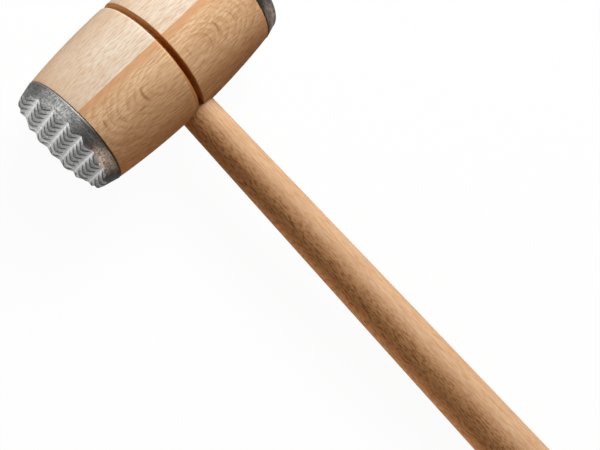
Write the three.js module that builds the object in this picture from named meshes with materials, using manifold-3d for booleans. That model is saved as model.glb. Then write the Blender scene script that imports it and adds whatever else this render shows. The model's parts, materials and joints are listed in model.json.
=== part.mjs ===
// Meat mallet: a turned wooden barrel head, glued from two boards, with a toothed cap on one end,
// a smooth cap on the other, and a turned wooden handle glued into a blind bore in its side.
// Millimetres, +Z up. The mallet lies on its side: the barrel's belly and the handle's butt touch
// the surface at z = 0, the handle points along +X and the toothed cap along -Y.

import * as THREE from 'three';
import * as BufferGeometryUtils from 'three/addons/utils/BufferGeometryUtils.js';
import Module from 'manifold-3d';

const wasm = await Module();
wasm.setup();

// Wooden head
const bellyRadius = 30;
const seamRadius = 27;
const seamHalfLength = 44.75;
const grooveWidth = 3.9;
const grooveDepth = 3;
const grooveLipRadius = 0.5;
const shoulderChamfer = 0.3;
const glueLineOffset = 4.8;

// Turned spigot on each end of the head, under the caps
const spigotRadius = 22.5;
const spigotLength = 4;
const spigotChamfer = 0.5;

// Handle
const handleReach = 300;
const neckRadius = 8.5;
const buttRadius = 13.45;
const handleSwell = 0.17;
const buttRounding = 4;
const tenonPastAxis = 12;
const tenonChamfer = 1;

// Both metal caps
const capEdgeChamfer = 0.5;
const bossRadius = 6.5;
const bossStandOff = 1;

// Toothed cap, heights measured from the seam to the middle of its face
const toothedRimRadius = 24.4;
const valleyHeight = 7.35;
const toothHeight = 1.85;
const toothPitch = 7.62;
const toothTipFlat = 0.5;
const toothRowShift = 0.3;
const toothColumnShift = 1.6;
const toothGridTurn = THREE.MathUtils.degToRad(1.4);
const toothedFaceSlant = THREE.MathUtils.degToRad(4.1);

// Smooth cap
const smoothRimRadius = 25.5;
const smoothCapHeight = 8;
const smoothRimRounding = 2.5;

// Ring-shank pin that holds each cap, places measured from the seam
const pinHeadRadius = 4.2;
const pinHeadThickness = 1.4;
const pinHeadTop = 3.8;
const pinShankRadius = 2.3;
const pinRingRadius = 2.5;
const pinRootRadius = 2.1;
const pinRingPitch = 2.2;
const pinRingCrestShare = 0.75;
const pinPlainLength = 2;
const pinPointLength = 3;
const pinPointRadius = 0.5;
const pinRingCount = 8;

// Clearances
const fitGap = 0.3;
const boreEndGap = 1;
const cutOverrun = 2;

// Steps in the round
const headSides = 72;
const handleSides = 48;
const pinSides = 16;
const lipSteps = 3;
const barrelSteps = 6;
const roundingSteps = 4;
const handleSteps = 9;

// Finishes
const paleWood = { color: 0xe6cfb2, roughness: 0.62, metalness: 0 };
const tanWood = { color: 0xcfa377, roughness: 0.6, metalness: 0 };
const handleWood = { color: 0xc99b6b, roughness: 0.58, metalness: 0 };
const castMetal = { color: 0x8f8e8c, roughness: 0.45, metalness: 0.9 };
const pinSteel = { color: 0xa6a8ab, roughness: 0.35, metalness: 1 };

// A profile is a list of points (radius, place along the axis), turned about the Y axis.
function profilePoint(radius, along) {
  return new THREE.Vector2(radius, along);
}

// Points of an arc between two angles, where angle zero points straight out from the axis.
function arcPoints(centre, radius, startAngle, endAngle, steps) {
  const points = [];
  for (let step = 0; step <= steps; step += 1) {
    const angle = THREE.MathUtils.lerp(startAngle, endAngle, step / steps);
    const reach = new THREE.Vector2(Math.cos(angle), Math.sin(angle)).multiplyScalar(radius);
    points.push(reach.add(centre));
  }
  return points;
}

function mirrored(profile) {
  return profile.map((point) => profilePoint(point.x, -point.y)).reverse();
}

function shifted(profile, along) {
  return profile.map((point) => profilePoint(point.x, point.y + along));
}

// A turned solid, with the doubled points on the seam and on the axis merged.
function turned(profile, sides) {
  const lathe = new THREE.LatheGeometry(profile, sides);
  return welded(lathe);
}

function welded(geometry) {
  const bare = geometry.clone();
  bare.deleteAttribute('normal');
  bare.deleteAttribute('uv');
  const merged = BufferGeometryUtils.mergeVertices(bare);
  const corners = merged.index.array;
  const kept = [];
  for (let first = 0; first < corners.length; first += 3) {
    const [a, b, c] = corners.slice(first, first + 3);
    if (a !== b && b !== c && c !== a) {
      kept.push(a, b, c);
    }
  }
  merged.setIndex(kept);
  return merged;
}

function toSolid(geometry) {
  return new wasm.Manifold(new wasm.Mesh({
    numProp: 3,
    vertProperties: new Float32Array(geometry.attributes.position.array),
    triVerts: new Uint32Array(geometry.index.array),
  }));
}

function toGeometry(solid) {
  const mesh = solid.getMesh();
  const geometry = new THREE.BufferGeometry();
  geometry.setAttribute('position', new THREE.BufferAttribute(new Float32Array(mesh.vertProperties), 3));
  geometry.setIndex(new THREE.BufferAttribute(new Uint32Array(mesh.triVerts), 1));
  geometry.computeVertexNormals();
  return geometry;
}

function piece(name, geometry, finish) {
  const mesh = new THREE.Mesh(geometry, new THREE.MeshStandardMaterial(finish));
  mesh.name = name;
  return mesh;
}

// Barrel radius at a distance from the middle of the head: a shallow arch from belly to seam.
function barrelRadius(along) {
  return bellyRadius - (bellyRadius - seamRadius) * (along / seamHalfLength) ** 2;
}

// Half of the barrel's outline, from the middle of the groove to the end of the spigot.
function halfHeadOutline() {
  const grooveEdge = grooveWidth / 2;
  const lipEnd = grooveEdge + grooveLipRadius;
  const lipCentre = profilePoint(barrelRadius(lipEnd) - grooveLipRadius, lipEnd);
  const shoulderEdge = seamHalfLength - shoulderChamfer;
  const spigotEnd = seamHalfLength + spigotLength;
  const outline = [
    profilePoint(bellyRadius - grooveDepth, grooveEdge),
    ...arcPoints(lipCentre, grooveLipRadius, -Math.PI / 2, 0, lipSteps),
  ];
  for (let step = 1; step <= barrelSteps; step += 1) {
    const along = THREE.MathUtils.lerp(lipEnd, shoulderEdge, step / barrelSteps);
    outline.push(profilePoint(barrelRadius(along), along));
  }
  outline.push(
    profilePoint(seamRadius - shoulderChamfer, seamHalfLength),
    profilePoint(spigotRadius, seamHalfLength),
    profilePoint(spigotRadius, spigotEnd - spigotChamfer),
    profilePoint(spigotRadius - spigotChamfer, spigotEnd),
  );
  return outline;
}

// How far the pin reaches into the wood, from the seam.
const pinDepth = pinPlainLength + pinRingCount * pinRingPitch + pinPointLength;

// Recess for the cap's boss and the pin's bore, from the end of the spigot to the bore's bottom.
function headEndBore() {
  const recessRadius = bossRadius + fitGap;
  const recessFloor = seamHalfLength + bossStandOff - fitGap;
  const boreRadius = pinRingRadius + fitGap;
  const boreBottom = seamHalfLength - pinDepth - boreEndGap;
  return [
    profilePoint(recessRadius, seamHalfLength + spigotLength),
    profilePoint(recessRadius, recessFloor),
    profilePoint(boreRadius, recessFloor),
    profilePoint(boreRadius, boreBottom),
    profilePoint(0, boreBottom),
  ];
}

// The whole head before it is parted at the glue line, with the handle's blind bore.
function headSolid() {
  const half = [...halfHeadOutline(), ...headEndBore()];
  const head = toSolid(turned([...mirrored(half), ...half], headSides));
  const boreRadius = neckRadius + fitGap;
  const boreBottom = -tenonPastAxis - boreEndGap;
  const boreMouth = bellyRadius + cutOverrun;
  const drill = new THREE.CylinderGeometry(boreRadius, boreRadius, boreMouth - boreBottom, handleSides);
  drill.rotateZ(-Math.PI / 2);
  drill.translate((boreMouth + boreBottom) / 2, 0, 0);
  return head.subtract(toSolid(welded(drill)));
}

// The part of the head between two planes square to the handle.
function boardBetween(head, low, high) {
  const width = 2 * (bellyRadius + cutOverrun);
  const length = 2 * (seamHalfLength + spigotLength + cutOverrun);
  const block = new THREE.BoxGeometry(high - low, length, width);
  block.translate((high + low) / 2, 0, 0);
  return toGeometry(head.intersect(toSolid(welded(block))));
}

function headBoards() {
  const head = headSolid();
  const outside = bellyRadius + cutOverrun;
  const paleFace = -glueLineOffset - fitGap / 2;
  const tanFace = -glueLineOffset + fitGap / 2;
  return [
    piece('head_pale_board', boardBetween(head, -outside, paleFace), paleWood),
    piece('head_tan_board', boardBetween(head, tanFace, outside), tanWood),
  ];
}

// Handle, turned in one piece with its tenon, laid along +X.
function handle() {
  const neckStart = bellyRadius - grooveDepth;
  const taperEnd = handleReach - buttRounding;
  const profile = [
    profilePoint(0, -tenonPastAxis),
    profilePoint(neckRadius - tenonChamfer, -tenonPastAxis),
    profilePoint(neckRadius, -tenonPastAxis + tenonChamfer),
  ];
  for (let step = 0; step < handleSteps; step += 1) {
    const share = step / handleSteps;
    const swell = 4 * handleSwell * share * (1 - share);
    const radius = THREE.MathUtils.lerp(neckRadius, buttRadius, share) + swell;
    profile.push(profilePoint(radius, THREE.MathUtils.lerp(neckStart, taperEnd, share)));
  }
  const roundingCentre = profilePoint(buttRadius - buttRounding, taperEnd);
  profile.push(...arcPoints(roundingCentre, buttRounding, 0, Math.PI / 2, roundingSteps));
  profile.push(profilePoint(0, handleReach));
  const geometry = turned(profile, handleSides);
  geometry.rotateZ(-Math.PI / 2);
  geometry.computeVertexNormals();
  return piece('handle', geometry, handleWood);
}

// Inside of a cap, from the pocket that grips the pin's head out to the cap's back edge.
// Places are measured from the seam, outwards.
function capInside() {
  const pocketRadius = pinHeadRadius + fitGap;
  const pocketTop = pinHeadTop + fitGap;
  const pocketFloor = pinHeadTop - pinHeadThickness - fitGap;
  const shankHoleRadius = pinShankRadius + fitGap;
  const cupFloor = spigotLength + fitGap;
  const cupRadius = spigotRadius + fitGap;
  return [
    profilePoint(0, pocketTop),
    profilePoint(pocketRadius, pocketTop),
    profilePoint(pocketRadius, pocketFloor),
    profilePoint(shankHoleRadius, pocketFloor),
    profilePoint(shankHoleRadius, bossStandOff),
    profilePoint(bossRadius, bossStandOff),
    profilePoint(bossRadius, cupFloor),
    profilePoint(cupRadius, cupFloor),
    profilePoint(cupRadius, fitGap),
    profilePoint(seamRadius - capEdgeChamfer, fitGap),
    profilePoint(seamRadius, fitGap + capEdgeChamfer),
  ];
}

// One V-shaped groove between two rows of teeth, running along the local Z axis, with its bottom
// at height zero.
function toothGroove(place) {
  const halfWidthAtTip = (toothPitch - toothTipFlat) / 2;
  const cutTop = toothHeight + cutOverrun;
  const halfWidthAtTop = halfWidthAtTip * cutTop / toothHeight;
  const outline = new THREE.Shape([
    new THREE.Vector2(-halfWidthAtTop, cutTop),
    new THREE.Vector2(0, 0),
    new THREE.Vector2(halfWidthAtTop, cutTop),
  ]);
  const length = 2 * (seamRadius + toothPitch);
  const wedge = new THREE.ExtrudeGeometry(outline, { depth: length, bevelEnabled: false });
  wedge.translate(place, 0, -length / 2);
  return wedge;
}

// A block whose top is the toothed face: two crossing sets of V-shaped grooves, on a slant.
function toothedFaceBlock() {
  const width = 2 * (seamRadius + cutOverrun);
  const base = -valleyHeight - width * Math.tan(toothedFaceSlant);
  const block = new THREE.BoxGeometry(width, toothHeight - base, width);
  block.translate(0, (toothHeight + base) / 2, 0);
  let face = toSolid(welded(block));
  const groovesPerSide = Math.ceil(seamRadius / toothPitch) + 1;
  for (let groove = -groovesPerSide; groove < groovesPerSide; groove += 1) {
    const place = (groove + 1 / 2) * toothPitch;
    const along = toothGroove(place + toothRowShift);
    const across = toothGroove(place + toothColumnShift);
    across.rotateY(Math.PI / 2);
    face = face.subtract(toSolid(welded(along)));
    face = face.subtract(toSolid(welded(across)));
  }
  const geometry = toGeometry(face);
  geometry.rotateY(toothGridTurn);
  geometry.rotateX(-toothedFaceSlant);
  geometry.translate(0, valleyHeight, 0);
  return geometry;
}

// Toothed cap: a cast cup whose toothed face slants, so that its wall is lowest on the upper side.
function toothedCap() {
  const highestTip = valleyHeight + toothHeight + toothedRimRadius * Math.tan(toothedFaceSlant);
  const blank = [
    ...capInside(),
    profilePoint(toothedRimRadius, highestTip),
    profilePoint(0, highestTip),
  ];
  const cap = toSolid(turned(blank, headSides)).intersect(toSolid(toothedFaceBlock()));
  const geometry = toGeometry(cap);
  geometry.rotateX(Math.PI);
  geometry.translate(0, -seamHalfLength, 0);
  return piece('toothed_cap', geometry, castMetal);
}

// Smooth cap: the same cup with a flat striking face and a rounded rim.
function smoothCap() {
  const sideTop = smoothCapHeight - smoothRimRounding;
  const roundingCentre = profilePoint(smoothRimRadius - smoothRimRounding, sideTop);
  const profile = [
    ...capInside(),
    ...arcPoints(roundingCentre, smoothRimRounding, 0, Math.PI / 2, roundingSteps),
    profilePoint(0, smoothCapHeight),
  ];
  const geometry = turned(shifted(profile, seamHalfLength), headSides);
  geometry.computeVertexNormals();
  return piece('smooth_cap', geometry, castMetal);
}

// Pin with a round head cast into the cap and a ringed shank glued into the end grain.
function capPinGeometry() {
  const profile = [
    profilePoint(0, -pinDepth),
    profilePoint(pinPointRadius, -pinDepth),
    profilePoint(pinRootRadius, pinPointLength - pinDepth),
  ];
  for (let ring = 0; ring < pinRingCount; ring += 1) {
    const ringStart = pinPointLength - pinDepth + ring * pinRingPitch;
    profile.push(profilePoint(pinRingRadius, ringStart + pinRingPitch * pinRingCrestShare));
    profile.push(profilePoint(pinRootRadius, ringStart + pinRingPitch));
  }
  profile.push(
    profilePoint(pinShankRadius, -pinPlainLength / 2),
    profilePoint(pinShankRadius, pinHeadTop - pinHeadThickness),
    profilePoint(pinHeadRadius, pinHeadTop - pinHeadThickness),
    profilePoint(pinHeadRadius, pinHeadTop),
    profilePoint(0, pinHeadTop),
  );
  return turned(shifted(profile, seamHalfLength), pinSides);
}

function capPins() {
  const smoothSide = capPinGeometry();
  const toothedSide = capPinGeometry().rotateX(Math.PI);
  smoothSide.computeVertexNormals();
  toothedSide.computeVertexNormals();
  return [
    piece('toothed_cap_pin', toothedSide, pinSteel),
    piece('smooth_cap_pin', smoothSide, pinSteel),
  ];
}

// The mallet tips until the rounded edge of the butt comes down to the level of the belly.
function lyingTilt() {
  const reach = handleReach - buttRounding;
  const rise = buttRadius - buttRounding;
  const drop = bellyRadius - buttRounding;
  return Math.asin(drop / Math.hypot(reach, rise)) - Math.atan2(rise, reach);
}

const mallet = new THREE.Group();
mallet.add(...headBoards(), handle(), toothedCap(), smoothCap(), ...capPins());
mallet.rotation.y = lyingTilt();

// The origin is on the surface, under the middle of the mallet.
const bounds = new THREE.Box3().setFromObject(mallet, true);
const middle = bounds.getCenter(new THREE.Vector3());
mallet.position.set(-middle.x, -middle.y, -bounds.min.z);

const lyingMallet = new THREE.Group();
lyingMallet.add(mallet);

export default lyingMallet;
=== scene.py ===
import json
import math
import bmesh
import bpy
from mathutils import Matrix, Vector


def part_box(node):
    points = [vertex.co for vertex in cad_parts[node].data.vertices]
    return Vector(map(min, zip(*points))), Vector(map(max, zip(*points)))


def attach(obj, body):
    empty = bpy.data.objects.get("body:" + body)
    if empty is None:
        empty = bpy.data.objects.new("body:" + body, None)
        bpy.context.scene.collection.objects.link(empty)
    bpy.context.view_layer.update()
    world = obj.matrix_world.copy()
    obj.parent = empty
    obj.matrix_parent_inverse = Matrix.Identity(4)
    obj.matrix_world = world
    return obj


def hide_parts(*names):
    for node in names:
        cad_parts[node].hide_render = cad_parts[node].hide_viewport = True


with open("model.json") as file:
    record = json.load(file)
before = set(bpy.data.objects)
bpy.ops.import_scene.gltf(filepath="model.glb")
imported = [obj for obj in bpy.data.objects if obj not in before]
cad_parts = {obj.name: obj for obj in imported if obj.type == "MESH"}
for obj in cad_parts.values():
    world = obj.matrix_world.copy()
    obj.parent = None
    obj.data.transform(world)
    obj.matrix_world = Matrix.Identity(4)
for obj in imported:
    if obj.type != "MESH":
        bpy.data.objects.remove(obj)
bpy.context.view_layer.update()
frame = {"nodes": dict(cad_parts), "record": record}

# How the mallet lies
# The head's axis runs along Y and the handle leaves it along X, tipped down until its butt touches
# the floor. Every piece is drawn in millimetres about the head's middle and then laid down like this.
mm = 0.001
lying_tilt = math.radians(3.208)
smooth_face = Vector(frame["record"]["mounts"][0]["pos_m"])
board_low, board_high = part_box("head_tan_board")
head_middle = Vector((smooth_face.x, (board_low.y + board_high.y) / 2, smooth_face.z))
lie_down = Matrix.Translation(head_middle) @ Matrix.Rotation(lying_tilt, 4, "Y")


# Camera
# It looks down on the head from 61 cm up and 17 cm on the toothed side, with the handle running to
# the lower right. The lens and place were worked out from the outlines in the photograph.
camera_place = Vector((0.18, -172.26, 605.01)) * mm
picture_right = Vector((0.67185, 0.67792, 0.2984))
picture_up = Vector((-0.72512, 0.68416, 0.07831))
lens_length = 87.1
film_width = 36
nearest_seen = 0.01
farthest_seen = 50

camera_turn = Matrix((picture_right, picture_up, picture_right.cross(picture_up))).transposed()
camera = bpy.data.objects.new("camera", bpy.data.cameras.new("camera"))
camera.matrix_world = lie_down @ Matrix.Translation(camera_place) @ camera_turn.to_4x4()
camera.data.lens = lens_length
camera.data.sensor_width = film_width
camera.data.clip_start = nearest_seen
camera.data.clip_end = farthest_seen
bpy.context.scene.collection.objects.link(camera)
bpy.context.scene.camera = camera
bpy.context.scene.view_settings.view_transform = "Standard"


# Floor
# A wide sheet of pale paper. The camera sees it nearly white, with a faint soft shadow, and it throws
# a warm light up under the wood. The metal mirrors it bright away from the handle, grey near the head and
# warm towards the handle, and dimmer under the head and far in front of the teeth. The grey near the head
# and the dimming under it are painted shadow.
floor_reach = 12.0
floor_bounce_colour = (0.52, 0.34, 0.2, 1)
floor_seen_share = 0.96
white = (1, 1, 1, 1)
black = (0, 0, 0, 1)

# Where the floor that the metal mirrors changes, in metres, and how bright it is there. The grey near the
# head and the dimming under it are painted shadow.
floor_shade_places = (-0.15, -0.06)
floor_shade_levels = (0.95, 0.1)
floor_shadow_under_places = (-0.05, -0.062)
floor_shadow_under_levels = (0.35, 1.0)
floor_front_places = (-0.07, -0.12)
floor_front_levels = (1.0, 0.45)
floor_warm_places = (-0.09, 0.05)
floor_warm_lean = 0.6
floor_warm_colour = (0.74, 0.58, 0.47, 1)


def paint(red, green, blue):
    """A colour as a screen shows it, each part from 0 to 255, in the linear form that a shader takes."""
    linear = []
    for part in (red, green, blue):
        share = part / 255
        linear.append(share / 12.92 if share <= 0.04045 else ((share + 0.055) / 1.055) ** 2.4)
    return (*linear, 1)


def add_node(tree, kind, inputs=None, **settings):
    """Adds a node. Inputs are values or the outputs of other nodes, by name or by number."""
    node = tree.nodes.new(kind)
    for name, value in settings.items():
        setattr(node, name, value)
    for name, value in (inputs or {}).items():
        if isinstance(value, bpy.types.NodeSocket):
            tree.links.new(value, node.inputs[name])
        else:
            node.inputs[name].default_value = value
    return node


def calculate(tree, operation, first, second=0.0, third=0.0):
    """A math node's output."""
    inputs = {0: first, 1: second, 2: third}
    return add_node(tree, "ShaderNodeMath", inputs, operation=operation).outputs[0]


def times(tree, first, second):
    return calculate(tree, "MULTIPLY", first, second)


def ramp_value(tree, value, low, high, new_low=0.0, new_high=1.0):
    """A value that runs evenly between two others, held at both ends."""
    inputs = {"Value": value, "From Min": low, "From Max": high, "To Min": new_low, "To Max": new_high}
    return add_node(tree, "ShaderNodeMapRange", inputs).outputs["Result"]


def blend_colour(tree, share, first, second, blend_type="MIX"):
    """Covers a colour with a second one in some share, or tints it by that one."""
    inputs = {0: share, 6: first, 7: second}
    return add_node(tree, "ShaderNodeMix", inputs, data_type="RGBA", blend_type=blend_type).outputs[2]


def coordinate(tree, kind):
    return add_node(tree, "ShaderNodeTexCoord").outputs[kind]


def split(tree, vector):
    """A vector's parts, by the names X, Y and Z."""
    return add_node(tree, "ShaderNodeSeparateXYZ", {0: vector}).outputs


def backdrop(tree, glow_kind, plain, seen_share, mirrored_colour):
    """Shows white to the camera in some share, a colour to the rays that shiny or clear surfaces send out,
    and the plain surface to all other light."""
    path = add_node(tree, "ShaderNodeLightPath").outputs
    colour = blend_colour(tree, path["Is Camera Ray"], mirrored_colour, white)
    glow = add_node(tree, glow_kind, {"Color": colour, "Strength": 1.0})
    mirrored = calculate(tree, "MAXIMUM", path["Is Glossy Ray"], path["Is Transmission Ray"])
    seen = times(tree, path["Is Camera Ray"], seen_share)
    share = calculate(tree, "MAXIMUM", mirrored, seen)
    return add_node(tree, "ShaderNodeMixShader", {0: share, 1: plain, 2: glow.outputs[0]}).outputs[0]


def mirrored_floor_colour(tree):
    place = split(tree, coordinate(tree, "Object"))
    # The grey near the head and the dimming under it are painted shadow in what the metal mirrors
    level = ramp_value(tree, place["X"], *floor_shade_places, *floor_shade_levels)
    front = ramp_value(tree, place["Y"], *floor_front_places, *floor_front_levels)
    under = ramp_value(tree, place["Y"], *floor_shadow_under_places, *floor_shadow_under_levels)
    level = times(tree, level, times(tree, front, under))
    grey = blend_colour(tree, level, black, white)
    leaning = calculate(tree, "MULTIPLY_ADD", place["Y"], floor_warm_lean, place["X"])
    return blend_colour(tree, ramp_value(tree, leaning, *floor_warm_places), grey, floor_warm_colour)


def floor_paper():
    material = bpy.data.materials.new("floor_paper")
    material.use_nodes = True
    tree = material.node_tree
    tree.nodes.clear()
    camera_ray = add_node(tree, "ShaderNodeLightPath").outputs["Is Camera Ray"]
    colour = blend_colour(tree, camera_ray, floor_bounce_colour, white)
    plain = add_node(tree, "ShaderNodeBsdfDiffuse", {"Color": colour}).outputs[0]
    mirrored = mirrored_floor_colour(tree)
    surface = backdrop(tree, "ShaderNodeEmission", plain, floor_seen_share, mirrored)
    add_node(tree, "ShaderNodeOutputMaterial", {"Surface": surface})
    return material


def mesh_piece(name, builder, material):
    """Makes an object from a finished bmesh."""
    mesh = bpy.data.meshes.new(name)
    builder.to_mesh(mesh)
    builder.free()
    mesh.materials.append(material)
    piece = bpy.data.objects.new(name, mesh)
    bpy.context.scene.collection.objects.link(piece)
    return piece


paper = bmesh.new()
paper_corners = [(-1, -1), (1, -1), (1, 1), (-1, 1)]
paper.faces.new([paper.verts.new((x * floor_reach, y * floor_reach, 0)) for x, y in paper_corners])
floor = mesh_piece("floor", paper, floor_paper())


# Studio light
# A broad soft light high up behind the smooth cap, a table that glows on the toothed side, and a dim
# surround, so the side of the head towards the handle stays darker, as in the photograph. The metal
# mirrors a dark room with a white panel on one side and a warm one on the handle's side.
surround_colour = (1.0, 0.78, 0.6, 1)
surround_level = 0.03
mirrored_room_colour = (0.09, 0.09, 0.09, 1)
white_panel_direction = (-0.72, -0.38, 0.55)
white_panel_edges = (0.62, 0.92)
white_panel_colour = (1.24, 1.24, 1.24, 1)
warm_panel_direction = (0.93, -0.28, 0.12)
warm_panel_edges = (0.83, 0.95)
warm_panel_colour = (1.7, 1.29, 1.03, 1)
key_direction = Vector((-0.28, 0.63, 0.72))
key_distance = 1.5
key_size = 1.0
key_level = 1.34
table_glow_colour = (1.0, 0.86, 0.7)

# Place, size and strength of each glowing patch of the table
table_glows = (
    ((0.06, -0.13, 0.001), (0.25, 0.22), 1.25),
    ((-0.20, -0.13, 0.001), (0.2, 0.14), 1.1),
)


def soft_light(name, place, direction, size, strength):
    """A soft area light at a place, shining away from a direction, with the strength of its surface."""
    light = bpy.data.lights.new(name, "AREA")
    light.shape = "RECTANGLE"
    light.size, light.size_y = size
    light.energy = strength * math.pi * size[0] * size[1]
    lamp = bpy.data.objects.new(name, light)
    lamp.location = place
    lamp.rotation_euler = direction.to_track_quat("Z", "Y").to_euler()
    bpy.context.scene.collection.objects.link(lamp)
    return lamp


key_strength = key_level * math.pi * key_distance**2 / key_size**2
key_place = head_middle + key_direction.normalized() * key_distance
soft_light("key_light", key_place, key_direction, (key_size, key_size), key_strength)
for number, (glow_place, glow_size, glow_strength) in enumerate(table_glows):
    glow = soft_light(f"table_glow_{number}", glow_place, Vector((0, 0, -1)), glow_size, glow_strength)
    glow.data.color = table_glow_colour
    glow.visible_camera = False
    glow.visible_glossy = False


def vector_math(tree, operation, first, second=(0, 0, 0), output="Vector"):
    """A vector math node's output, which is named Value where it is a plain number."""
    return add_node(tree, "ShaderNodeVectorMath", {0: first, 1: second}, operation=operation).outputs[output]


def panel_share(tree, towards, edges):
    """1 in the middle of a soft panel of the room, and 0 away from it."""
    direction = coordinate(tree, "Generated")
    nearness = vector_math(tree, "DOT_PRODUCT", direction, Vector(towards).normalized(), "Value")
    return ramp_value(tree, nearness, *edges)


def studio_room():
    room = bpy.data.worlds.new("surround")
    room.use_nodes = True
    tree = room.node_tree
    tree.nodes.clear()
    dim = add_node(tree, "ShaderNodeBackground", {"Color": surround_colour, "Strength": surround_level})
    warm_share = panel_share(tree, warm_panel_direction, warm_panel_edges)
    mirrored = blend_colour(tree, warm_share, mirrored_room_colour, warm_panel_colour)
    white_share = panel_share(tree, white_panel_direction, white_panel_edges)
    mirrored = blend_colour(tree, white_share, mirrored, white_panel_colour)
    surface = backdrop(tree, "ShaderNodeBackground", dim.outputs[0], 1.0, mirrored)
    add_node(tree, "ShaderNodeOutputWorld", {"Surface": surface})
    return room


bpy.context.scene.world = studio_room()


# Wooden head
# A beech barrel, glued from a pale and a tan board and turned as one, with a dark groove round its
# middle. A short spigot at each end goes into a cap, and the handle's bore is in the tan board.
belly_radius = 29.98
seam_radius = 27.0
seam_place = 44.75
shoulder_edge = 0.3
groove_width = 3.9
groove_depth = 3.0
groove_far_lip = 0.35
groove_near_lip = 1.2
groove_floor_rounding = 0.5
glue_line = 4.8
spigot_radius = 22.5
spigot_length = 4.0
spigot_edge = 0.5
recess_radius = 6.8
recess_floor = 45.45
pin_bore_radius = 2.8
pin_bore_bottom = 21.15
pin_bore_sides = 64
handle_bore_radius = 8.56
handle_bore_bottom = 13.0
handle_bore_sides = 128
cutter_overrun = 5.0
wood_sides = 256
barrel_steps = 14
lip_steps = 8
groove_floor_steps = 4
shoulder_steps = 3
weld_distance = 0.001
wood_sharp_turn = 35

pale_colour = paint(252, 237, 217)
pale_grain_colour = paint(230, 192, 154)
pale_fleck_colour = paint(222, 186, 150)
# The warmer, darker tone at the edge away from the glue line is painted shade
pale_warm_and_shade_start = -18.0
pale_warm_end = -44.0
pale_warm_cap_share = 0.5
pale_edge_shade_share = 0.4
tan_colour = paint(255, 216, 171)
tan_grain_colour = paint(202, 138, 84)
tan_fleck_colour = paint(192, 138, 92)
# A painted shade that deepens the tan towards the handle
tan_handle_side_shade_tint = (0.62, 0.43, 0.27, 1)
tan_handle_side_shade_edges = (3.0, 25.0)
tan_handle_side_shade_share = 0.58
red_strip_colour = paint(226, 166, 118)
red_strip_edges = (4.5, 2.0)
red_strip_share = 0.75
mark_colour = paint(152, 90, 46)

groove_colour = paint(188, 124, 68)
# A lighter copy of the groove's brown, on the pale board: painted light
lit_groove_colour = paint(228, 190, 140)
groove_painted_light_edges = (-28.0, -8.0)
near_lip_shift_places = (-10.0, 30.0)
near_lip_shifts = (1.1, -1.6)
near_lip_softness = 0.2
# How far the dark runs over the far lip on top: painted shade
far_lip_shift_places = (20.0, 12.0)
far_lip_shifts = (0.0, 0.45)
far_lip_softness = 0.05

# Centre, radius, facing in degrees, half length, half width and strength of each dark stroke that
# stands out on the tan board, seen from above
tan_marks = (
    ((8.3, -15.3), 5.4, -90, 3.7, 0.55, 0.60),
    ((0.3, -24.0), 12.0, 0, 2.0, 0.4, 0.45),
    ((7.5, -34.0), 6.3, -103, 2.1, 0.4, 0.50),
    ((15.9, -45.1), 6.0, 158, 1.4, 0.4, 0.40),
    ((7.6, -29.0), 8.5, -110, 5.0, 0.35, 0.22),
    ((7.6, -29.0), 4.2, -80, 3.5, 0.3, 0.20),
    ((7.6, 18.5), 4.6, 80, 3.6, 0.5, 0.50),
    ((9.5, 26.5), 5.2, 105, 4.5, 0.4, 0.30),
    ((9.8, 12.3), 5.0, 88, 4.6, 0.35, 0.35),
    ((8.0, 2.0), 4.4, 90, 2.5, 0.35, 0.25),
)


def arc(centre, radius, start, end, steps):
    """Points of an arc, with angles in degrees, where 0 points away from the axis."""
    points = []
    for step in range(steps + 1):
        angle = math.radians(start + (end - start) * step / steps)
        points.append((centre[0] + radius * math.cos(angle), centre[1] + radius * math.sin(angle)))
    return points


def barrel_radius(along):
    return belly_radius - (belly_radius - seam_radius) * (along / seam_place) ** 2


def half_head_outline(groove_lip):
    """Radius and place of each turned ring, from the middle of the groove to the end of the spigot."""
    lip_end = groove_width / 2
    lip_start = lip_end - groove_lip
    lip_centre = (barrel_radius(lip_end) - groove_lip, lip_end)
    floor_corner = (belly_radius - groove_depth + groove_floor_rounding, lip_start - groove_floor_rounding)
    outline = arc(floor_corner, groove_floor_rounding, -180, -270, groove_floor_steps)
    outline += arc(lip_centre, groove_lip, -90, 0, lip_steps)
    barrel_end = seam_place - shoulder_edge
    for step in range(1, barrel_steps):
        along = lip_end + (barrel_end - lip_end) * step / barrel_steps
        outline.append((barrel_radius(along), along))
    outline += arc((seam_radius - shoulder_edge, barrel_end), shoulder_edge, 0, 90, shoulder_steps)
    spigot_end = seam_place + spigot_length
    outline.append((spigot_radius, seam_place))
    outline.append((spigot_radius, spigot_end - spigot_edge))
    outline.append((spigot_radius - spigot_edge, spigot_end))
    outline.append((glue_line, spigot_end))
    return outline


def other_half(outline):
    return [(radius, -along) for radius, along in reversed(outline)]


def head_board(towards_handle):
    """The part of the turned head on one side of the glue line, as rings cut at the glue line. The tan
    board, towards the handle, also has the disc of wood round the axis at each end."""
    outline = other_half(half_head_outline(groove_near_lip)) + half_head_outline(groove_far_lip)
    steps = wood_sides // 2
    middle = 0.0 if towards_handle else math.pi
    builder = bmesh.new()
    rings = []
    for radius, along in outline:
        reach = math.acos(min(1.0, glue_line / radius))
        sweep = math.pi - reach if towards_handle else reach
        ring = []
        for step in range(steps + 1):
            angle = middle + sweep * (2 * step / steps - 1)
            ring.append(builder.verts.new((radius * math.cos(angle), along, radius * math.sin(angle))))
        rings.append(ring)
    for first, second in zip(rings, rings[1:]):
        for step in range(steps):
            builder.faces.new((first[step], first[step + 1], second[step + 1], second[step]))
        builder.faces.new((first[steps], first[0], second[0], second[steps]))
    if towards_handle:
        builder.faces.new(rings[0])
        builder.faces.new(rings[-1])
    bmesh.ops.remove_doubles(builder, verts=builder.verts, dist=weld_distance)
    bmesh.ops.recalc_face_normals(builder, faces=builder.faces)
    return builder


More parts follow.
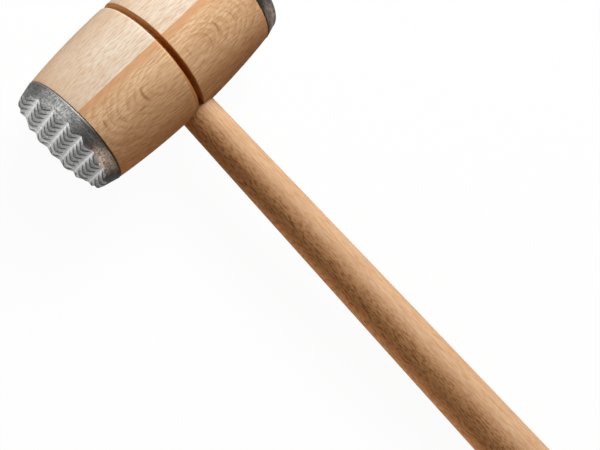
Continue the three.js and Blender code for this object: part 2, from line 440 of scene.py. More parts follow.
def turned(outline, sides):
    """A solid turned about Y from an outline that starts and ends on the axis, or closes on itself."""
    builder = bmesh.new()
    rings = []
    for radius, along in outline:
        count = sides if radius > 0 else 1
        ring = []
        for side in range(count):
            angle = math.tau * side / sides
            ring.append(builder.verts.new((radius * math.cos(angle), along, radius * math.sin(angle))))
        rings.append(ring)
    if outline[0][0] > 0:
        rings.append(rings[0])
    for first, second in zip(rings, rings[1:]):
        for side in range(sides):
            after = (side + 1) % sides
            corners = [first[side % len(first)], second[side % len(second)]]
            if len(second) > 1:
                corners.append(second[after])
            if len(first) > 1:
                corners.append(first[after])
            builder.faces.new(corners)
    bmesh.ops.recalc_face_normals(builder, faces=builder.faces)
    return builder


def swing_to_handle(builder):
    """Swings a solid that was turned about Y onto the handle's axis, X."""
    bmesh.ops.rotate(builder, verts=builder.verts, matrix=Matrix.Rotation(-math.pi / 2, 3, "Z"))


def cut_mesh(piece, builder, operation):
    """Takes a solid away from a piece's mesh, or keeps only what lies inside that solid."""
    cutter_mesh = bpy.data.meshes.new("cutter")
    builder.to_mesh(cutter_mesh)
    builder.free()
    cutter = bpy.data.objects.new("cutter", cutter_mesh)
    bpy.context.scene.collection.objects.link(cutter)
    modifier = piece.modifiers.new("cut", "BOOLEAN")
    modifier.object = cutter
    modifier.operation = operation
    modifier.solver = "EXACT"
    graph = bpy.context.evaluated_depsgraph_get()
    cut = bpy.data.meshes.new_from_object(piece.evaluated_get(graph))
    piece.modifiers.clear()
    uncut = piece.data
    piece.data = cut
    bpy.data.meshes.remove(uncut)
    bpy.data.meshes.remove(cutter_mesh)


def smooth_shaded(piece, sharp_degrees):
    """Shades every face smooth and keeps the edges sharp that turn by more than an angle."""
    builder = bmesh.new()
    builder.from_mesh(piece.data)
    for face in builder.faces:
        face.smooth = True
    for edge in builder.edges:
        edge.smooth = len(edge.link_faces) == 2 and edge.calc_face_angle(0) < math.radians(sharp_degrees)
    builder.to_mesh(piece.data)
    builder.free()


def lay_down(piece):
    """Scales a piece from millimetres and lays it down with the mallet."""
    piece.data.transform(lie_down @ Matrix.Scale(mm, 4))
    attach(piece, "root")


def mallet_place(tree):
    """Places on the mallet in millimetres, as it was drawn before it was laid down."""
    inputs = {"Vector": coordinate(tree, "Object"), "Location": head_middle, "Rotation": (0, lying_tilt, 0),
              "Scale": (mm, mm, mm)}
    return add_node(tree, "ShaderNodeMapping", inputs, vector_type="TEXTURE").outputs[0]


def group_with(name, inputs, outputs):
    """A new shader node group: its tree, its input sockets and its output sockets. An input without a
    value takes a vector. All others take a number, and every output gives one."""
    tree = bpy.data.node_groups.new(name, "ShaderNodeTree")
    for socket_name, value in inputs.items():
        kind = "NodeSocketVector" if value is None else "NodeSocketFloat"
        socket = tree.interface.new_socket(socket_name, in_out="INPUT", socket_type=kind)
        if value is not None:
            socket.default_value = value
    for socket_name in outputs:
        tree.interface.new_socket(socket_name, in_out="OUTPUT", socket_type="NodeSocketFloat")
    return tree, add_node(tree, "NodeGroupInput").outputs, add_node(tree, "NodeGroupOutput").inputs


def join(tree, x, y=0.0, z=0.0):
    """A vector from its parts."""
    return add_node(tree, "ShaderNodeCombineXYZ", {"X": x, "Y": y, "Z": z}).outputs[0]


def place_group(tree, group, inputs):
    """Places a shader node group with its values, and gives its outputs."""
    return add_node(tree, "ShaderNodeGroup", inputs, node_tree=group).outputs


def noise(tree, place, size=(1.0, 1.0, 1.0), detail=2.0, roughness=0.5):
    """Noise with a length in millimetres along each axis."""
    scaled = vector_math(tree, "MULTIPLY", place, [1 / length for length in size])
    inputs = {"Vector": scaled, "Scale": 1.0, "Detail": detail, "Roughness": roughness}
    return add_node(tree, "ShaderNodeTexNoise", inputs).outputs


# Lengths along the grain and twice across it, and the values between which each thing fades in
wander_size = (15.0, 6.0, 6.0)
break_size = (5.0, 2.6, 2.6)
fibre_size = (14.0, 0.55, 0.55)
cloud_size = (24.0, 7.0, 7.0)
break_edges = (0.34, 0.58)
break_roughness = 0.65
fleck_edges = (0.48, 0.62)
year_spacing = 0.55
year_shift = 1.6
late_wood_rise = (0.35, 0.9)
late_wood_fall = (1.0, 0.92)
heart_clearance = (4.5, 8.5)


def beech_figure():
    """Growth rings as stretched shells round a heart, the short dark flecks of beech, its fine fibres and
    soft clouds. The grain runs along X, and all lengths are in millimetres."""
    inputs = {"Place": None, "Heart": None, "Stretch": 2.2, "Ring Width": 1.6, "Warp": 3.0,
              "Fleck Length": 4.0, "Fleck Width": 0.4}
    tree, given, result = group_with("beech_figure", inputs, ("Rings", "Flecks", "Fibres", "Clouds"))
    place = given["Place"]
    wander = vector_math(tree, "SUBTRACT", noise(tree, place, wander_size)["Color"], (0.5, 0.5, 0.5))
    scaled = {0: wander, "Scale": given["Warp"]}
    shift = add_node(tree, "ShaderNodeVectorMath", scaled, operation="SCALE").outputs[0]
    away = vector_math(tree, "SUBTRACT", vector_math(tree, "ADD", place, shift), given["Heart"])
    parts = split(tree, away)
    shell = join(tree, calculate(tree, "DIVIDE", parts["X"], given["Stretch"]), parts["Y"], parts["Z"])
    distance = vector_math(tree, "LENGTH", shell, output="Value")
    years = calculate(tree, "DIVIDE", distance, given["Ring Width"])
    season = noise(tree, join(tree, times(tree, years, year_spacing)), detail=0.0)["Fac"]
    ring = calculate(tree, "FRACT", calculate(tree, "MULTIPLY_ADD", season, year_shift, years))
    late_start = ramp_value(tree, ring, *late_wood_rise)
    late_wood = times(tree, late_start, ramp_value(tree, ring, *late_wood_fall))
    broken = noise(tree, place, break_size, detail=3.0, roughness=break_roughness)["Fac"]
    past_heart = ramp_value(tree, distance, *heart_clearance)
    unbroken = times(tree, ramp_value(tree, broken, *break_edges), past_heart)
    tree.links.new(times(tree, late_wood, unbroken), result["Rings"])
    fleck_size = join(tree, given["Fleck Length"], given["Fleck Width"], given["Fleck Width"])
    dashes = noise(tree, vector_math(tree, "DIVIDE", place, fleck_size), detail=1.5)["Fac"]
    tree.links.new(ramp_value(tree, dashes, *fleck_edges), result["Flecks"])
    tree.links.new(noise(tree, place, fibre_size, detail=3.0)["Fac"], result["Fibres"])
    tree.links.new(noise(tree, place, cloud_size)["Fac"], result["Clouds"])
    return tree


stroke_rough_size = (1.6, 1.6, 1.6)
stroke_side_edges = (1.6, 0.2)
stroke_end_edges = (1.1, 0.5)
upper_side_edges = (0.0, 3.0)


def grain_mark():
    """One dark stroke of the figure: a short arc round a centre, on the upper side of the wood. Facing is
    the direction from the centre to the middle of the stroke."""
    inputs = {"Place": None, "Centre": None, "Facing": None, "Radius": 5.0, "Half Length": 3.0,
              "Half Width": 0.5}
    tree, given, result = group_with("grain_mark", inputs, ("Mark",))
    roughened = noise(tree, given["Place"], stroke_rough_size)["Fac"]
    away = split(tree, vector_math(tree, "SUBTRACT", given["Place"], given["Centre"]))
    flat = join(tree, away["X"], away["Y"])
    distance = vector_math(tree, "LENGTH", flat, output="Value")
    uneven = calculate(tree, "MULTIPLY_ADD", roughened, given["Half Width"], distance)
    past = calculate(tree, "ABSOLUTE", calculate(tree, "SUBTRACT", uneven, given["Radius"]))
    across = ramp_value(tree, calculate(tree, "DIVIDE", past, given["Half Width"]), *stroke_side_edges)
    outward = vector_math(tree, "NORMALIZE", flat)
    nearness = vector_math(tree, "DOT_PRODUCT", outward, given["Facing"], "Value")
    turn = calculate(tree, "ARCCOSINE", calculate(tree, "MINIMUM", nearness, 1.0))
    travel = calculate(tree, "DIVIDE", times(tree, turn, given["Radius"]), given["Half Length"])
    along = ramp_value(tree, travel, *stroke_end_edges)
    upper_side = ramp_value(tree, split(tree, given["Place"])["Z"], *upper_side_edges)
    mark = times(tree, times(tree, across, along), upper_side)
    tree.links.new(mark, result["Mark"])
    return tree


beech = beech_figure()
stroke = grain_mark()


def cover(tree, colour, mask, strength, over):
    """Covers a colour with another where a mask is 1, in some strength."""
    return blend_colour(tree, times(tree, mask, strength), colour, over)


def add_marks(tree, colour, marks):
    """Draws the dark strokes that stand out over a wood's colour."""
    place = mallet_place(tree)
    for centre, radius, facing, half_length, half_width, strength in marks:
        angle = math.radians(facing)
        inputs = {"Place": place, "Centre": (*centre, 0), "Facing": (math.cos(angle), math.sin(angle), 0),
                  "Radius": radius, "Half Length": half_length, "Half Width": half_width}
        colour = cover(tree, colour, place_group(tree, stroke, inputs)["Mark"], strength, mark_colour)
    return colour


def set_colour(tree, colour):
    tree.links.new(colour, tree.nodes["Principled BSDF"].inputs["Base Color"])


cloud_edges = (0.35, 0.7)
fibre_edges = (0.45, 0.7)
fibre_sheen_edges = (0.3, 0.7)
wood_roughnesses = (0.55, 0.68)
wood_specular = 0.12
wood_bump_strength = 0.25
wood_bump_height = 0.06
fleck_depth = -0.5


def wood_material(name, turn, figure, strengths, plain, grain, fleck):
    """Beech with its grain along X after a turn, and its colour before any marks. Figure sets the shape of
    the rings and flecks, strengths say how strongly each thing shows, and the colours are the plain wood's,
    the rings' and the flecks'."""
    material = bpy.data.materials.new(name)
    material.use_nodes = True
    tree = material.node_tree
    shader = tree.nodes["Principled BSDF"]
    turned_place = {"Vector": mallet_place(tree), "Rotation": turn}
    along_grain = add_node(tree, "ShaderNodeMapping", turned_place).outputs[0]
    seen = place_group(tree, beech, {"Place": along_grain, **figure})
    clouds = ramp_value(tree, seen["Clouds"], *cloud_edges, 0.0, strengths["Clouds"])
    colour = blend_colour(tree, clouds, plain, grain)
    colour = cover(tree, colour, seen["Rings"], strengths["Rings"], grain)
    fibres = ramp_value(tree, seen["Fibres"], *fibre_edges, 0.0, strengths["Fibres"])
    colour = blend_colour(tree, fibres, colour, fleck)
    colour = cover(tree, colour, seen["Flecks"], strengths["Flecks"], fleck)
    height = calculate(tree, "MULTIPLY_ADD", seen["Flecks"], fleck_depth, seen["Fibres"])
    bump = {"Height": height, "Strength": wood_bump_strength, "Distance": wood_bump_height * mm}
    tree.links.new(add_node(tree, "ShaderNodeBump", bump).outputs[0], shader.inputs["Normal"])
    roughness = ramp_value(tree, seen["Fibres"], *fibre_sheen_edges, *wood_roughnesses)
    tree.links.new(roughness, shader.inputs["Roughness"])
    shader.inputs["Specular IOR Level"].default_value = wood_specular
    return material, colour


def head_place(tree):
    """Places in millimetres from the head's middle: X towards the handle and Y along the head."""
    return split(tree, mallet_place(tree))


def warm_ends_and_edge_shade(tree, colour):
    """The pale board grows warmer towards the toothed cap, and towards the edge away from the glue line it
    takes a painted warm shade.
    """
    place = head_place(tree)
    near_cap = ramp_value(tree, place["Y"], pale_warm_and_shade_start, pale_warm_end, 0.0, pale_warm_cap_share)
    near_edge = ramp_value(tree, place["X"], pale_warm_and_shade_start, -belly_radius, 0.0, pale_edge_shade_share)
    return blend_colour(tree, calculate(tree, "MAXIMUM", near_cap, near_edge), colour, pale_grain_colour)


def redden_glue_side_and_shade(tree, colour):
    """The tan board is redder in a strip beside the glue line, and painted shade deepens its tone towards the
    handle.
    """
    across = head_place(tree)["X"]
    strip_edge, strip_full = red_strip_edges
    strip = ramp_value(tree, across, strip_edge - glue_line, strip_full - glue_line, 0.0, red_strip_share)
    colour = blend_colour(tree, strip, colour, red_strip_colour)
    shade_towards_handle = ramp_value(tree, across, *tan_handle_side_shade_edges, 0.0, tan_handle_side_shade_share)
    return blend_colour(tree, shade_towards_handle, colour, tan_handle_side_shade_tint, "MULTIPLY")


def darken_groove(tree, colour):
    """The groove round the head is coloured a darker brown over its walls and floor. It is lighter on the
    pale board, which is painted light, it runs a little over the near lip towards the handle, and on top it
    runs over the far lip as painted shade."""
    place = head_place(tree)
    near_shift = ramp_value(tree, place["X"], *near_lip_shift_places, *near_lip_shifts)
    near_place = calculate(tree, "SUBTRACT", place["Y"], near_shift)
    near_edge = -groove_width / 2
    near_side = ramp_value(tree, near_place, near_edge + near_lip_softness, near_edge + groove_near_lip)
    off_top = calculate(tree, "ABSOLUTE", place["X"])
    far_shift = ramp_value(tree, off_top, *far_lip_shift_places, *far_lip_shifts)
    far_place = calculate(tree, "SUBTRACT", place["Y"], far_shift)
    far_edge = groove_width / 2
    far_side = ramp_value(tree, far_place, far_edge - far_lip_softness, far_edge - groove_far_lip)
    light_share = ramp_value(tree, place["X"], *groove_painted_light_edges)
    groove_tone = blend_colour(tree, light_share, lit_groove_colour, groove_colour)
    return blend_colour(tree, times(tree, near_side, far_side), colour, groove_tone)


grain_along_head = (0, 0, math.radians(90))
pale_figure = {"Heart": (0, 30, -40), "Stretch": 12, "Ring Width": 2.6, "Warp": 2.0,
               "Fleck Length": 4.4, "Fleck Width": 0.42}
pale_strengths = {"Rings": 0.25, "Flecks": 0.7, "Fibres": 0.45, "Clouds": 0.2}
tan_figure = {"Heart": (0.5, 9, 28), "Stretch": 2.3, "Ring Width": 1.75, "Warp": 2.4,
              "Fleck Length": 4.0, "Fleck Width": 0.45}
tan_strengths = {"Rings": 0.48, "Flecks": 0.46, "Fibres": 0.46, "Clouds": 0.3}


def pale_beech():
    colours = (pale_colour, pale_grain_colour, pale_fleck_colour)
    material, colour = wood_material("pale_beech", grain_along_head, pale_figure, pale_strengths, *colours)
    tree = material.node_tree
    set_colour(tree, darken_groove(tree, warm_ends_and_edge_shade(tree, colour)))
    return material


def tan_beech():
    colours = (tan_colour, tan_grain_colour, tan_fleck_colour)
    material, colour = wood_material("tan_beech", grain_along_head, tan_figure, tan_strengths, *colours)
    tree = material.node_tree
    colour = darken_groove(tree, redden_glue_side_and_shade(tree, colour))
    set_colour(tree, add_marks(tree, colour, tan_marks))
    return material


def head_piece(name, node, towards_handle, material):
    """One board of the head, with its share of the bores for the handle and for the two pins."""
    piece = mesh_piece(name, head_board(towards_handle), material)
    if towards_handle:
        bore_end = belly_radius + cutter_overrun
        bore = turned([(0, -handle_bore_bottom), (handle_bore_radius, -handle_bore_bottom),
                       (handle_bore_radius, bore_end), (0, bore_end)], handle_bore_sides)
        swing_to_handle(bore)
        cut_mesh(piece, bore, "DIFFERENCE")
    seat_end = seam_place + spigot_length + cutter_overrun
    seat = [(0, pin_bore_bottom), (pin_bore_radius, pin_bore_bottom), (pin_bore_radius, recess_floor),
            (recess_radius, recess_floor), (recess_radius, seat_end), (0, seat_end)]
    for end in (-1, 1):
        seat_mesh = turned([(radius, along * end) for radius, along in seat], pin_bore_sides)
        cut_mesh(piece, seat_mesh, "DIFFERENCE")
    smooth_shaded(piece, wood_sharp_turn)
    lay_down(piece)
    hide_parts(node)


head_piece("pale_head_board", "head_pale_board", False, pale_beech())
head_piece("tan_head_board", "head_tan_board", True, tan_beech())


# Handle
# Turned from one length of beech, thin at the head and thicker towards a rounded butt, with a plain
# round tenon that is glued into the head's bore.
handle_reach = 299.99
neck_radius = 8.5
butt_radius = 13.44
handle_swell = 0.17
butt_rounding = 4.0
tenon_past_axis = 12.0
tenon_edge = 1.0
handle_sides = 160
handle_steps = 48
butt_steps = 10

handle_colour = paint(229, 189, 149)
handle_grain_colour = paint(198, 146, 100)
handle_fleck_colour = paint(172, 116, 70)
# A redder tone on the toothed side: partly the wood's own streak, partly painted warm shade
handle_streak_and_shade_colour = paint(212, 154, 100)
handle_streak_and_shade_edges = (2.0, -5.0)
handle_streak_and_shade_share = 0.85
handle_sheen = 0.16
coarse_fleck_shape = {"Fleck Length": 2.6, "Fleck Width": 0.5}
coarse_fleck_share = 0.85
handle_figure = {"Heart": (110, 4, 9), "Stretch": 16, "Ring Width": 1.7, "Warp": 2.5,
                 "Fleck Length": 4.5, "Fleck Width": 0.45}
handle_strengths = {"Rings": 0.3, "Flecks": 0.35, "Fibres": 0.35, "Clouds": 0.2}

# Strokes like those on the tan board, in the same order of values
handle_marks = (
    ((54.2, -45.0), 40.0, 90, 3.0, 0.6, 0.55),
    ((62.5, -45.2), 40.0, 90, 3.4, 0.3, 0.40),
    ((66.0, -44.6), 40.0, 90, 3.0, 0.3, 0.35),
    ((73.0, -43.2), 40.0, 90, 2.6, 0.25, 0.45),
    ((73.5, -44.1), 40.0, 90, 2.4, 0.25, 0.40),
    ((82.4, -46.0), 40.0, 90, 2.2, 0.35, 0.50),
    ((92.3, -45.5), 40.0, 90, 2.6, 0.4, 0.55),
    ((42.8, -41.1), 40.0, 90, 2.4, 0.3, 0.30),
    ((118.0, -45.0), 40.0, 90, 4.0, 0.3, 0.30),
    ((150.0, -43.0), 40.0, 90, 5.0, 0.3, 0.25),
)


def handle_outline():
    """Radius and place of each turned ring, from the end of the tenon to the end of the butt."""
    start = belly_radius - groove_depth
    end = handle_reach - butt_rounding
    outline = [(0, -tenon_past_axis), (neck_radius - tenon_edge, -tenon_past_axis)]
    outline.append((neck_radius, tenon_edge - tenon_past_axis))
    for step in range(handle_steps):
        share = step / handle_steps
        swell = 4 * handle_swell * share * (1 - share)
        radius = neck_radius + (butt_radius - neck_radius) * share + swell
        outline.append((radius, start + (end - start) * share))
    outline += arc((butt_radius - butt_rounding, end), butt_rounding, 0, 90, butt_steps)
    outline.append((0, handle_reach))
    return outline


def streak_and_shade_toothed_side(tree, colour):
    """The handle is redder on the toothed side, partly a streak in the wood and partly painted warm shade,
    with coarse dark flecks.
    """
    streak = ramp_value(tree, head_place(tree)["Y"], *handle_streak_and_shade_edges)
    colour = cover(tree, colour, streak, handle_streak_and_shade_share, handle_streak_and_shade_colour)
    coarse = place_group(tree, beech, {"Place": mallet_place(tree), **coarse_fleck_shape})
    coarse_flecks = times(tree, coarse["Flecks"], streak)
    return cover(tree, colour, coarse_flecks, coarse_fleck_share, mark_colour)


def handle_beech():
    colours = (handle_colour, handle_grain_colour, handle_fleck_colour)
    material, colour = wood_material("handle_beech", (0, 0, 0), handle_figure, handle_strengths, *colours)
    tree = material.node_tree
    set_colour(tree, add_marks(tree, streak_and_shade_toothed_side(tree, colour), handle_marks))
    tree.nodes["Principled BSDF"].inputs["Sheen Weight"].default_value = handle_sheen
    return material


handle_mesh = turned(handle_outline(), handle_sides)
swing_to_handle(handle_mesh)
handle = mesh_piece("turned_handle", handle_mesh, handle_beech())
smooth_shaded(handle, wood_sharp_turn)
lay_down(handle)
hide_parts("handle")


# Toothed cap
# A cast cup of grey metal over the end of the head. Two crossing sets of V grooves cut its face into
# square pyramid teeth, painted bright down in the grooves as a reflection and dark at the tips, and its
# plain side is grey.
cap_back_edge = 0.6
cap_back_steps = 6
cap_seam_gap = 0.12
cup_gap = 0.3
boss_radius = 6.5
boss_stand_off = 1.0
pin_pocket_radius = 4.5
pin_pocket_top = 4.1
pin_pocket_floor = 2.1
pin_hole_radius = 2.6
cap_sides = 256
toothed_rim_radius = 24.4
valley_height = 7.35
tooth_height = 1.85
tooth_pitch = 7.62
tooth_tip_flat = 0.5
tooth_row_shift = 0.3
tooth_column_shift = 1.6
tooth_grid_turn = math.radians(1.4)
toothed_face_slant = math.radians(4.1)
tooth_rounding = 0.1
tooth_sharp_turn = 30
grid_steps = 22
grid_overrun = 2.0

# The plain side: the metal's two greys, its edge at the seam with painted highlight and shade, and the
# painted shade beside it
side_bright = paint(214, 214, 213)
side_dark = paint(98, 97, 95)
edge_highlight_colour = paint(172, 170, 166)
edge_shade_colour = paint(84, 80, 74)
edge_shade_to_highlight_places = (7.0, -3.0)
edge_band = (0.9, 0.6)
edge_roughness = 0.25
seam_shade_band = (3.2, 0.9)
seam_shade_places = (-8.0, 3.0)
seam_shade_share = 0.55

# The teeth: their greys, from a painted reflection in the grooves to the dark tips, the heights where each
# starts, and the dark line along each upper arris
tooth_groove_reflection_colour = paint(254, 254, 253)
tooth_side_colour = paint(98, 97, 95)
tooth_tip_colour = paint(44, 43, 41)
tooth_side_heights = (0.15, 0.8 * tooth_height)
tooth_tip_heights = (0.7 * tooth_height, 0.95 * tooth_height)
# How much less the upper faces darken: painted light
upper_face_edges = (0.1, 0.3)
side_tone_shares = (1.0, 0.6)
tip_tone_shares = (0.8, 0.0)
arris_line_place = 0.3
arris_line_widths = (0.5, 0.95)
arris_line_ends = (3.2, 2.4)
tooth_facing_edges = (-0.5, -0.6)
tooth_roughness = -0.14
tooth_grain_edges = (0.5, 0.66)
tooth_grain_share = 0.5
# The teeth's faces towards the handle are darkened as painted shade
handle_face_shade_edges = (0.05, 0.3)
handle_face_shade_share = 0.3


def cap_inside():
    """The outline of a cap's inside, from the pin's pocket out to the back edge, from the seam up."""
    cup_floor = spigot_length + cup_gap
    cup_radius = spigot_radius + cup_gap
    outline = [(0, pin_pocket_top), (pin_pocket_radius, pin_pocket_top)]
    outline += [(pin_pocket_radius, pin_pocket_floor), (pin_hole_radius, pin_pocket_floor)]
    outline += [(pin_hole_radius, boss_stand_off), (boss_radius, boss_stand_off)]
    outline += [(boss_radius, cup_floor), (cup_radius, cup_floor), (cup_radius, cap_seam_gap)]
    back_centre = (seam_radius - cap_back_edge, cap_seam_gap + cap_back_edge)
    outline += arc(back_centre, cap_back_edge, -90, 0, cap_back_steps)
    return outline


def soft_least(first, second, rounding):
    """The smaller of two values, with the corner between them rounded."""
    middle = max(rounding - abs(first - second), 0) / rounding
    return min(first, second) - middle * middle * rounding / 4


def groove_rise(from_crest):
    """How high one set of grooves leaves the face at a distance from the nearest crest between them."""
    past = (from_crest + tooth_pitch / 2) % tooth_pitch
    offset = min(past, tooth_pitch - past)
    rounded = math.sqrt(offset * offset + tooth_rounding * tooth_rounding) - tooth_rounding / 2
    return tooth_height * rounded / ((tooth_pitch - tooth_tip_flat) / 2)


def tooth_rise(across, along):
    """Height of the face above the bottoms of the grooves, at a place measured from a tooth's tip."""
    rise = soft_least(groove_rise(across), groove_rise(along), tooth_rounding)
    return soft_least(rise, tooth_height, tooth_rounding)


def tooth_block():
    """A block whose top is the grooved and slanted face, wider than the cap. Each square of its grid is
    split along the diagonal that lies higher, so that the teeth's arrises stay crisp."""
    spacing = tooth_pitch / grid_steps
    half = math.ceil((seam_radius + grid_overrun) / spacing)
    builder = bmesh.new()
    rows = []
    for across in range(-half, half + 1):
        row = []
        for along in range(-half, half + 1):
            x, z = across * spacing, along * spacing
            row.append(builder.verts.new((x, tooth_rise(x, z), z)))
        rows.append(row)
    for first, second in zip(rows, rows[1:]):
        for a, b, c, d in zip(first, first[1:], second[1:], second):
            if a.co.y + c.co.y < b.co.y + d.co.y:
                a, b, c, d = b, c, d, a
            builder.faces.new((a, b, c))
            builder.faces.new((a, c, d))
    reach = half * spacing
    base_corners = [(-1, -1), (-1, 1), (1, 1), (1, -1)]
    base = [builder.verts.new((x * reach, -reach / 2, z * reach)) for x, z in base_corners]
    builder.faces.new(base)
    builder.faces.new((*rows[0], base[1], base[0]))
    builder.faces.new((*reversed(rows[-1]), base[3], base[2]))
    builder.faces.new((*[row[-1] for row in rows], base[2], base[1]))
    builder.faces.new((*[row[0] for row in reversed(rows)], base[0], base[3]))
    bmesh.ops.recalc_face_normals(builder, faces=builder.faces)
    shifted = Matrix.Translation((tooth_row_shift, 0, -tooth_column_shift))
    slanted = Matrix.Rotation(-toothed_face_slant, 4, "X") @ Matrix.Rotation(tooth_grid_turn, 4, "Y")
    builder.transform(Matrix.Translation((0, valley_height, 0)) @ slanted @ shifted)
    return builder


# Lengths of the marks across, along and across the cap, the values between which each fades in, and its
# share of the dark grey
cast_grain_size = (0.9, 0.9, 0.9)
turning_size = (9.0, 0.35, 9.0)
stain_size = (7.0, 3.0, 7.0)
pit_size = (0.7, 0.7, 0.7)
pit_edges = (0.66, 0.74)
pit_share = 0.4
pit_depth = -0.8
stain_edges = (0.35, 0.65)
stain_share = 0.7
turning_edges = (0.4, 0.65)
turning_share = 0.6
turning_depth = 0.8
grain_edges = (0.47, 0.6)
grain_share = 0.75
grain_gloss_edges = (0.3, 0.7)
metal_roughnesses = (0.3, 0.42)
metallic = 0.95
metal_bump_strength = 0.5
metal_bump_height = 0.08


def cast_surface():
    """Fine casting grain, turned marks round the cap, soft stains and small pits."""
    tree, given, result = group_with("cast_surface", {"Place": None}, ("Grain", "Turning", "Stains", "Pits"))
    place = given["Place"]
    tree.links.new(noise(tree, place, cast_grain_size, detail=4.0)["Fac"], result["Grain"])
    tree.links.new(noise(tree, place, turning_size, detail=3.0)["Fac"], result["Turning"])
    tree.links.new(noise(tree, place, stain_size, detail=3.0)["Fac"], result["Stains"])
    pits = noise(tree, place, pit_size, detail=1.0)["Fac"]
    tree.links.new(ramp_value(tree, pits, *pit_edges), result["Pits"])
    return tree


cast = cast_surface()


def cast_metal(name, bright, dark):
    """Grey cast metal, and its colour before any edges or teeth."""
    material = bpy.data.materials.new(name)
    material.use_nodes = True
    tree = material.node_tree
    shader = tree.nodes["Principled BSDF"]
    seen = place_group(tree, cast, {"Place": mallet_place(tree)})
    stains = ramp_value(tree, seen["Stains"], *stain_edges, 0.0, stain_share)
    colour = blend_colour(tree, stains, bright, dark)
    turning = ramp_value(tree, seen["Turning"], *turning_edges, 0.0, turning_share)
    colour = blend_colour(tree, turning, colour, dark)
    colour = cover(tree, colour, seen["Pits"], pit_share, dark)
    colour = blend_colour(tree, ramp_value(tree, seen["Grain"], *grain_edges, 0.0, grain_share), colour, dark)
    roughness = ramp_value(tree, seen["Grain"], *grain_gloss_edges, *metal_roughnesses)
    tree.links.new(roughness, shader.inputs["Roughness"])
    shader.inputs["Metallic"].default_value = metallic
    height = calculate(tree, "MULTIPLY_ADD", seen["Pits"], pit_depth, seen["Grain"])
    height = calculate(tree, "MULTIPLY_ADD", seen["Turning"], turning_depth, height)
    bump = {"Height": height, "Strength": metal_bump_strength, "Distance": metal_bump_height * mm}
    tree.links.new(add_node(tree, "ShaderNodeBump", bump).outputs[0], shader.inputs["Normal"])
    return material, colour


def add_roughness(tree, share, amount):
    """Adds to the roughness, or takes from it, over a share of the surface."""
    roughness = tree.nodes["Principled BSDF"].inputs["Roughness"]
    before = roughness.links[0].from_socket
    tree.links.new(calculate(tree, "MULTIPLY_ADD", share, amount, before), roughness)


def paint_back_edge_light(tree, colour):
    """The edge of a cap that meets the wood is bright away from the handle, a painted highlight, and dark on
    the handle's side, a painted shade. A band of the plain side next to it is painted shade there too."""
    place = head_place(tree)
    past_seam = calculate(tree, "SUBTRACT", calculate(tree, "ABSOLUTE", place["Y"]), seam_place)
    shade_by_seam = ramp_value(tree, past_seam, *seam_shade_band, 0.0, seam_shade_share)
    shade_by_seam = times(tree, shade_by_seam, ramp_value(tree, place["X"], *seam_shade_places))
    colour = blend_colour(tree, shade_by_seam, colour, edge_shade_colour)
    highlight_share = ramp_value(tree, place["X"], *edge_shade_to_highlight_places)
    edge_colour = blend_colour(tree, highlight_share, edge_shade_colour, edge_highlight_colour)
    edge = ramp_value(tree, past_seam, *edge_band)
    add_roughness(tree, edge, edge_roughness)
    return blend_colour(tree, edge, colour, edge_colour)


def facing(tree):
    """Which way the surface faces, by the names X, Y and Z."""
    return split(tree, coordinate(tree, "Normal"))


def arris_lines(tree, place):
    """1 along the two upper arrises of every tooth, short of the grooves between the rows."""
    turned_x = calculate(tree, "MULTIPLY_ADD", place["Z"], math.sin(tooth_grid_turn), place["X"])
    turned_z = calculate(tree, "MULTIPLY_ADD", place["X"], -math.sin(tooth_grid_turn), place["Z"])
    from_crest = calculate(tree, "SUBTRACT", turned_x, tooth_row_shift)
    from_crest = calculate(tree, "PINGPONG", from_crest, tooth_pitch / 2)
    above_tip = calculate(tree, "SUBTRACT", turned_z, tooth_column_shift)
    above_tip = calculate(tree, "WRAP", above_tip, tooth_pitch / 2, -tooth_pitch / 2)
    past_arris = calculate(tree, "SUBTRACT", from_crest, above_tip)
    off_line = calculate(tree, "ABSOLUTE", calculate(tree, "SUBTRACT", past_arris, arris_line_place))
    line = ramp_value(tree, off_line, *arris_line_widths, 1.0, 0.0)
    return times(tree, line, ramp_value(tree, from_crest, *arris_line_ends))


def tooth_tone(tree):
    """The teeth are near white down in their grooves, a painted reflection, darker up their sides and darkest
    at their tips, less so on their upper faces, which is painted light, with a dark line along each upper
    arris."""
    place = head_place(tree)
    slanted = times(tree, place["Z"], math.tan(toothed_face_slant))
    height = calculate(tree, "SUBTRACT", slanted, place["Y"])
    height = calculate(tree, "SUBTRACT", height, seam_place + valley_height)
    upward = facing(tree)["Z"]
    sides = ramp_value(tree, height, *tooth_side_heights)
    sides = times(tree, sides, ramp_value(tree, upward, *upper_face_edges, *side_tone_shares))
    tips = ramp_value(tree, height, *tooth_tip_heights)
    tips = times(tree, tips, ramp_value(tree, upward, *upper_face_edges, *tip_tone_shares))
    colour = blend_colour(tree, sides, tooth_groove_reflection_colour, tooth_side_colour)
    colour = blend_colour(tree, tips, colour, tooth_tip_colour)
    return blend_colour(tree, arris_lines(tree, place), colour, tooth_tip_colour)


def tooth_grain_and_shade(tree, colour):
    """Fine dark casting grain on the teeth, and painted shade on their faces towards the handle."""
    grain = place_group(tree, cast, {"Place": mallet_place(tree)})["Grain"]
    scratches = ramp_value(tree, grain, *tooth_grain_edges, 0.0, tooth_grain_share)
    colour = blend_colour(tree, scratches, colour, tooth_tip_colour)
    shaded_handle_faces = ramp_value(tree, facing(tree)["X"], *handle_face_shade_edges, 0.0, handle_face_shade_share)
    return blend_colour(tree, shaded_handle_faces, colour, tooth_tip_colour)


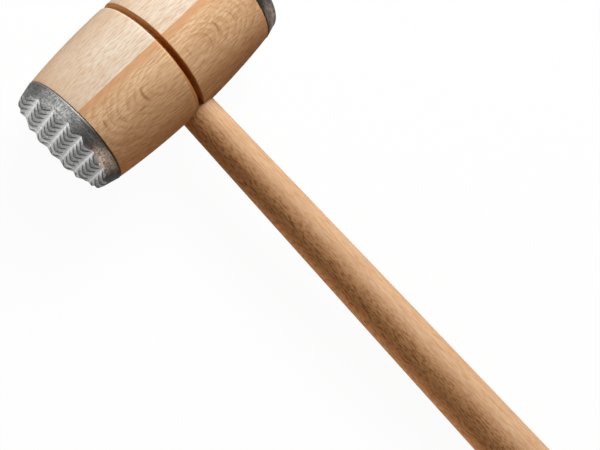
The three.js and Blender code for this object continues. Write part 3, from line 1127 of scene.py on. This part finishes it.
def toothed_cap_metal():
    """Grey on the plain side, and brighter and glossier on what faces out of the cap's end: the teeth, whose
    brightness is painted light.
    """
    material, colour = cast_metal("toothed_cap_metal", side_bright, side_dark)
    tree = material.node_tree
    colour = paint_back_edge_light(tree, colour)
    teeth = ramp_value(tree, facing(tree)["Y"], *tooth_facing_edges)
    set_colour(tree, blend_colour(tree, teeth, colour, tooth_grain_and_shade(tree, tooth_tone(tree))))
    add_roughness(tree, teeth, tooth_roughness)
    return material


highest_tip = valley_height + tooth_height + toothed_rim_radius * math.tan(toothed_face_slant)
cap_blank = turned([*cap_inside(), (toothed_rim_radius, highest_tip), (0, highest_tip)], cap_sides)
toothed_cap = mesh_piece("toothed_cast_cap", cap_blank, toothed_cap_metal())
cut_mesh(toothed_cap, tooth_block(), "INTERSECT")
toothed_cap.data.transform(Matrix.Translation((0, -seam_place, 0)) @ Matrix.Rotation(math.pi, 4, "X"))
smooth_shaded(toothed_cap, tooth_sharp_turn)
lay_down(toothed_cap)
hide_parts("toothed_cap")


# Smooth cap
# The same cast cup of grey metal over the other end of the head, glued on and held by its pin. It has a
# flat striking face and a rounded rim.
smooth_rim_radius = 25.5
smooth_height = 8.0
smooth_rounding = 2.5
smooth_rounding_steps = 10
smooth_sharp_turn = 40


def smooth_cap_metal():
    material, colour = cast_metal("smooth_cap_metal", side_bright, side_dark)
    # Its back edge takes the same painted highlight and shade
    set_colour(material.node_tree, paint_back_edge_light(material.node_tree, colour))
    return material


rounding_centre = (smooth_rim_radius - smooth_rounding, smooth_height - smooth_rounding)
rim = arc(rounding_centre, smooth_rounding, 0, 90, smooth_rounding_steps)
smooth_mesh = turned([*cap_inside(), *rim, (0, smooth_height)], cap_sides)
smooth_cap = mesh_piece("smooth_cast_cap", smooth_mesh, smooth_cap_metal())
smooth_cap.data.transform(Matrix.Translation((0, seam_place, 0)))
smooth_shaded(smooth_cap, smooth_sharp_turn)
lay_down(smooth_cap)
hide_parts("smooth_cap")


# Cap pins
# Hidden ring-shank pins of bright drawn steel, cast into the caps and driven into the end grain. They
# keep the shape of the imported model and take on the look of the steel.
pin_bright = paint(196, 198, 200)
pin_dark = paint(150, 152, 155)

pin_metal, pin_colour = cast_metal("pin_steel", pin_bright, pin_dark)
set_colour(pin_metal.node_tree, pin_colour)
for node in ("toothed_cap_pin", "smooth_cap_pin"):
    pin = frame["nodes"][node]
    pin.data.materials.clear()
    pin.data.materials.append(pin_metal)
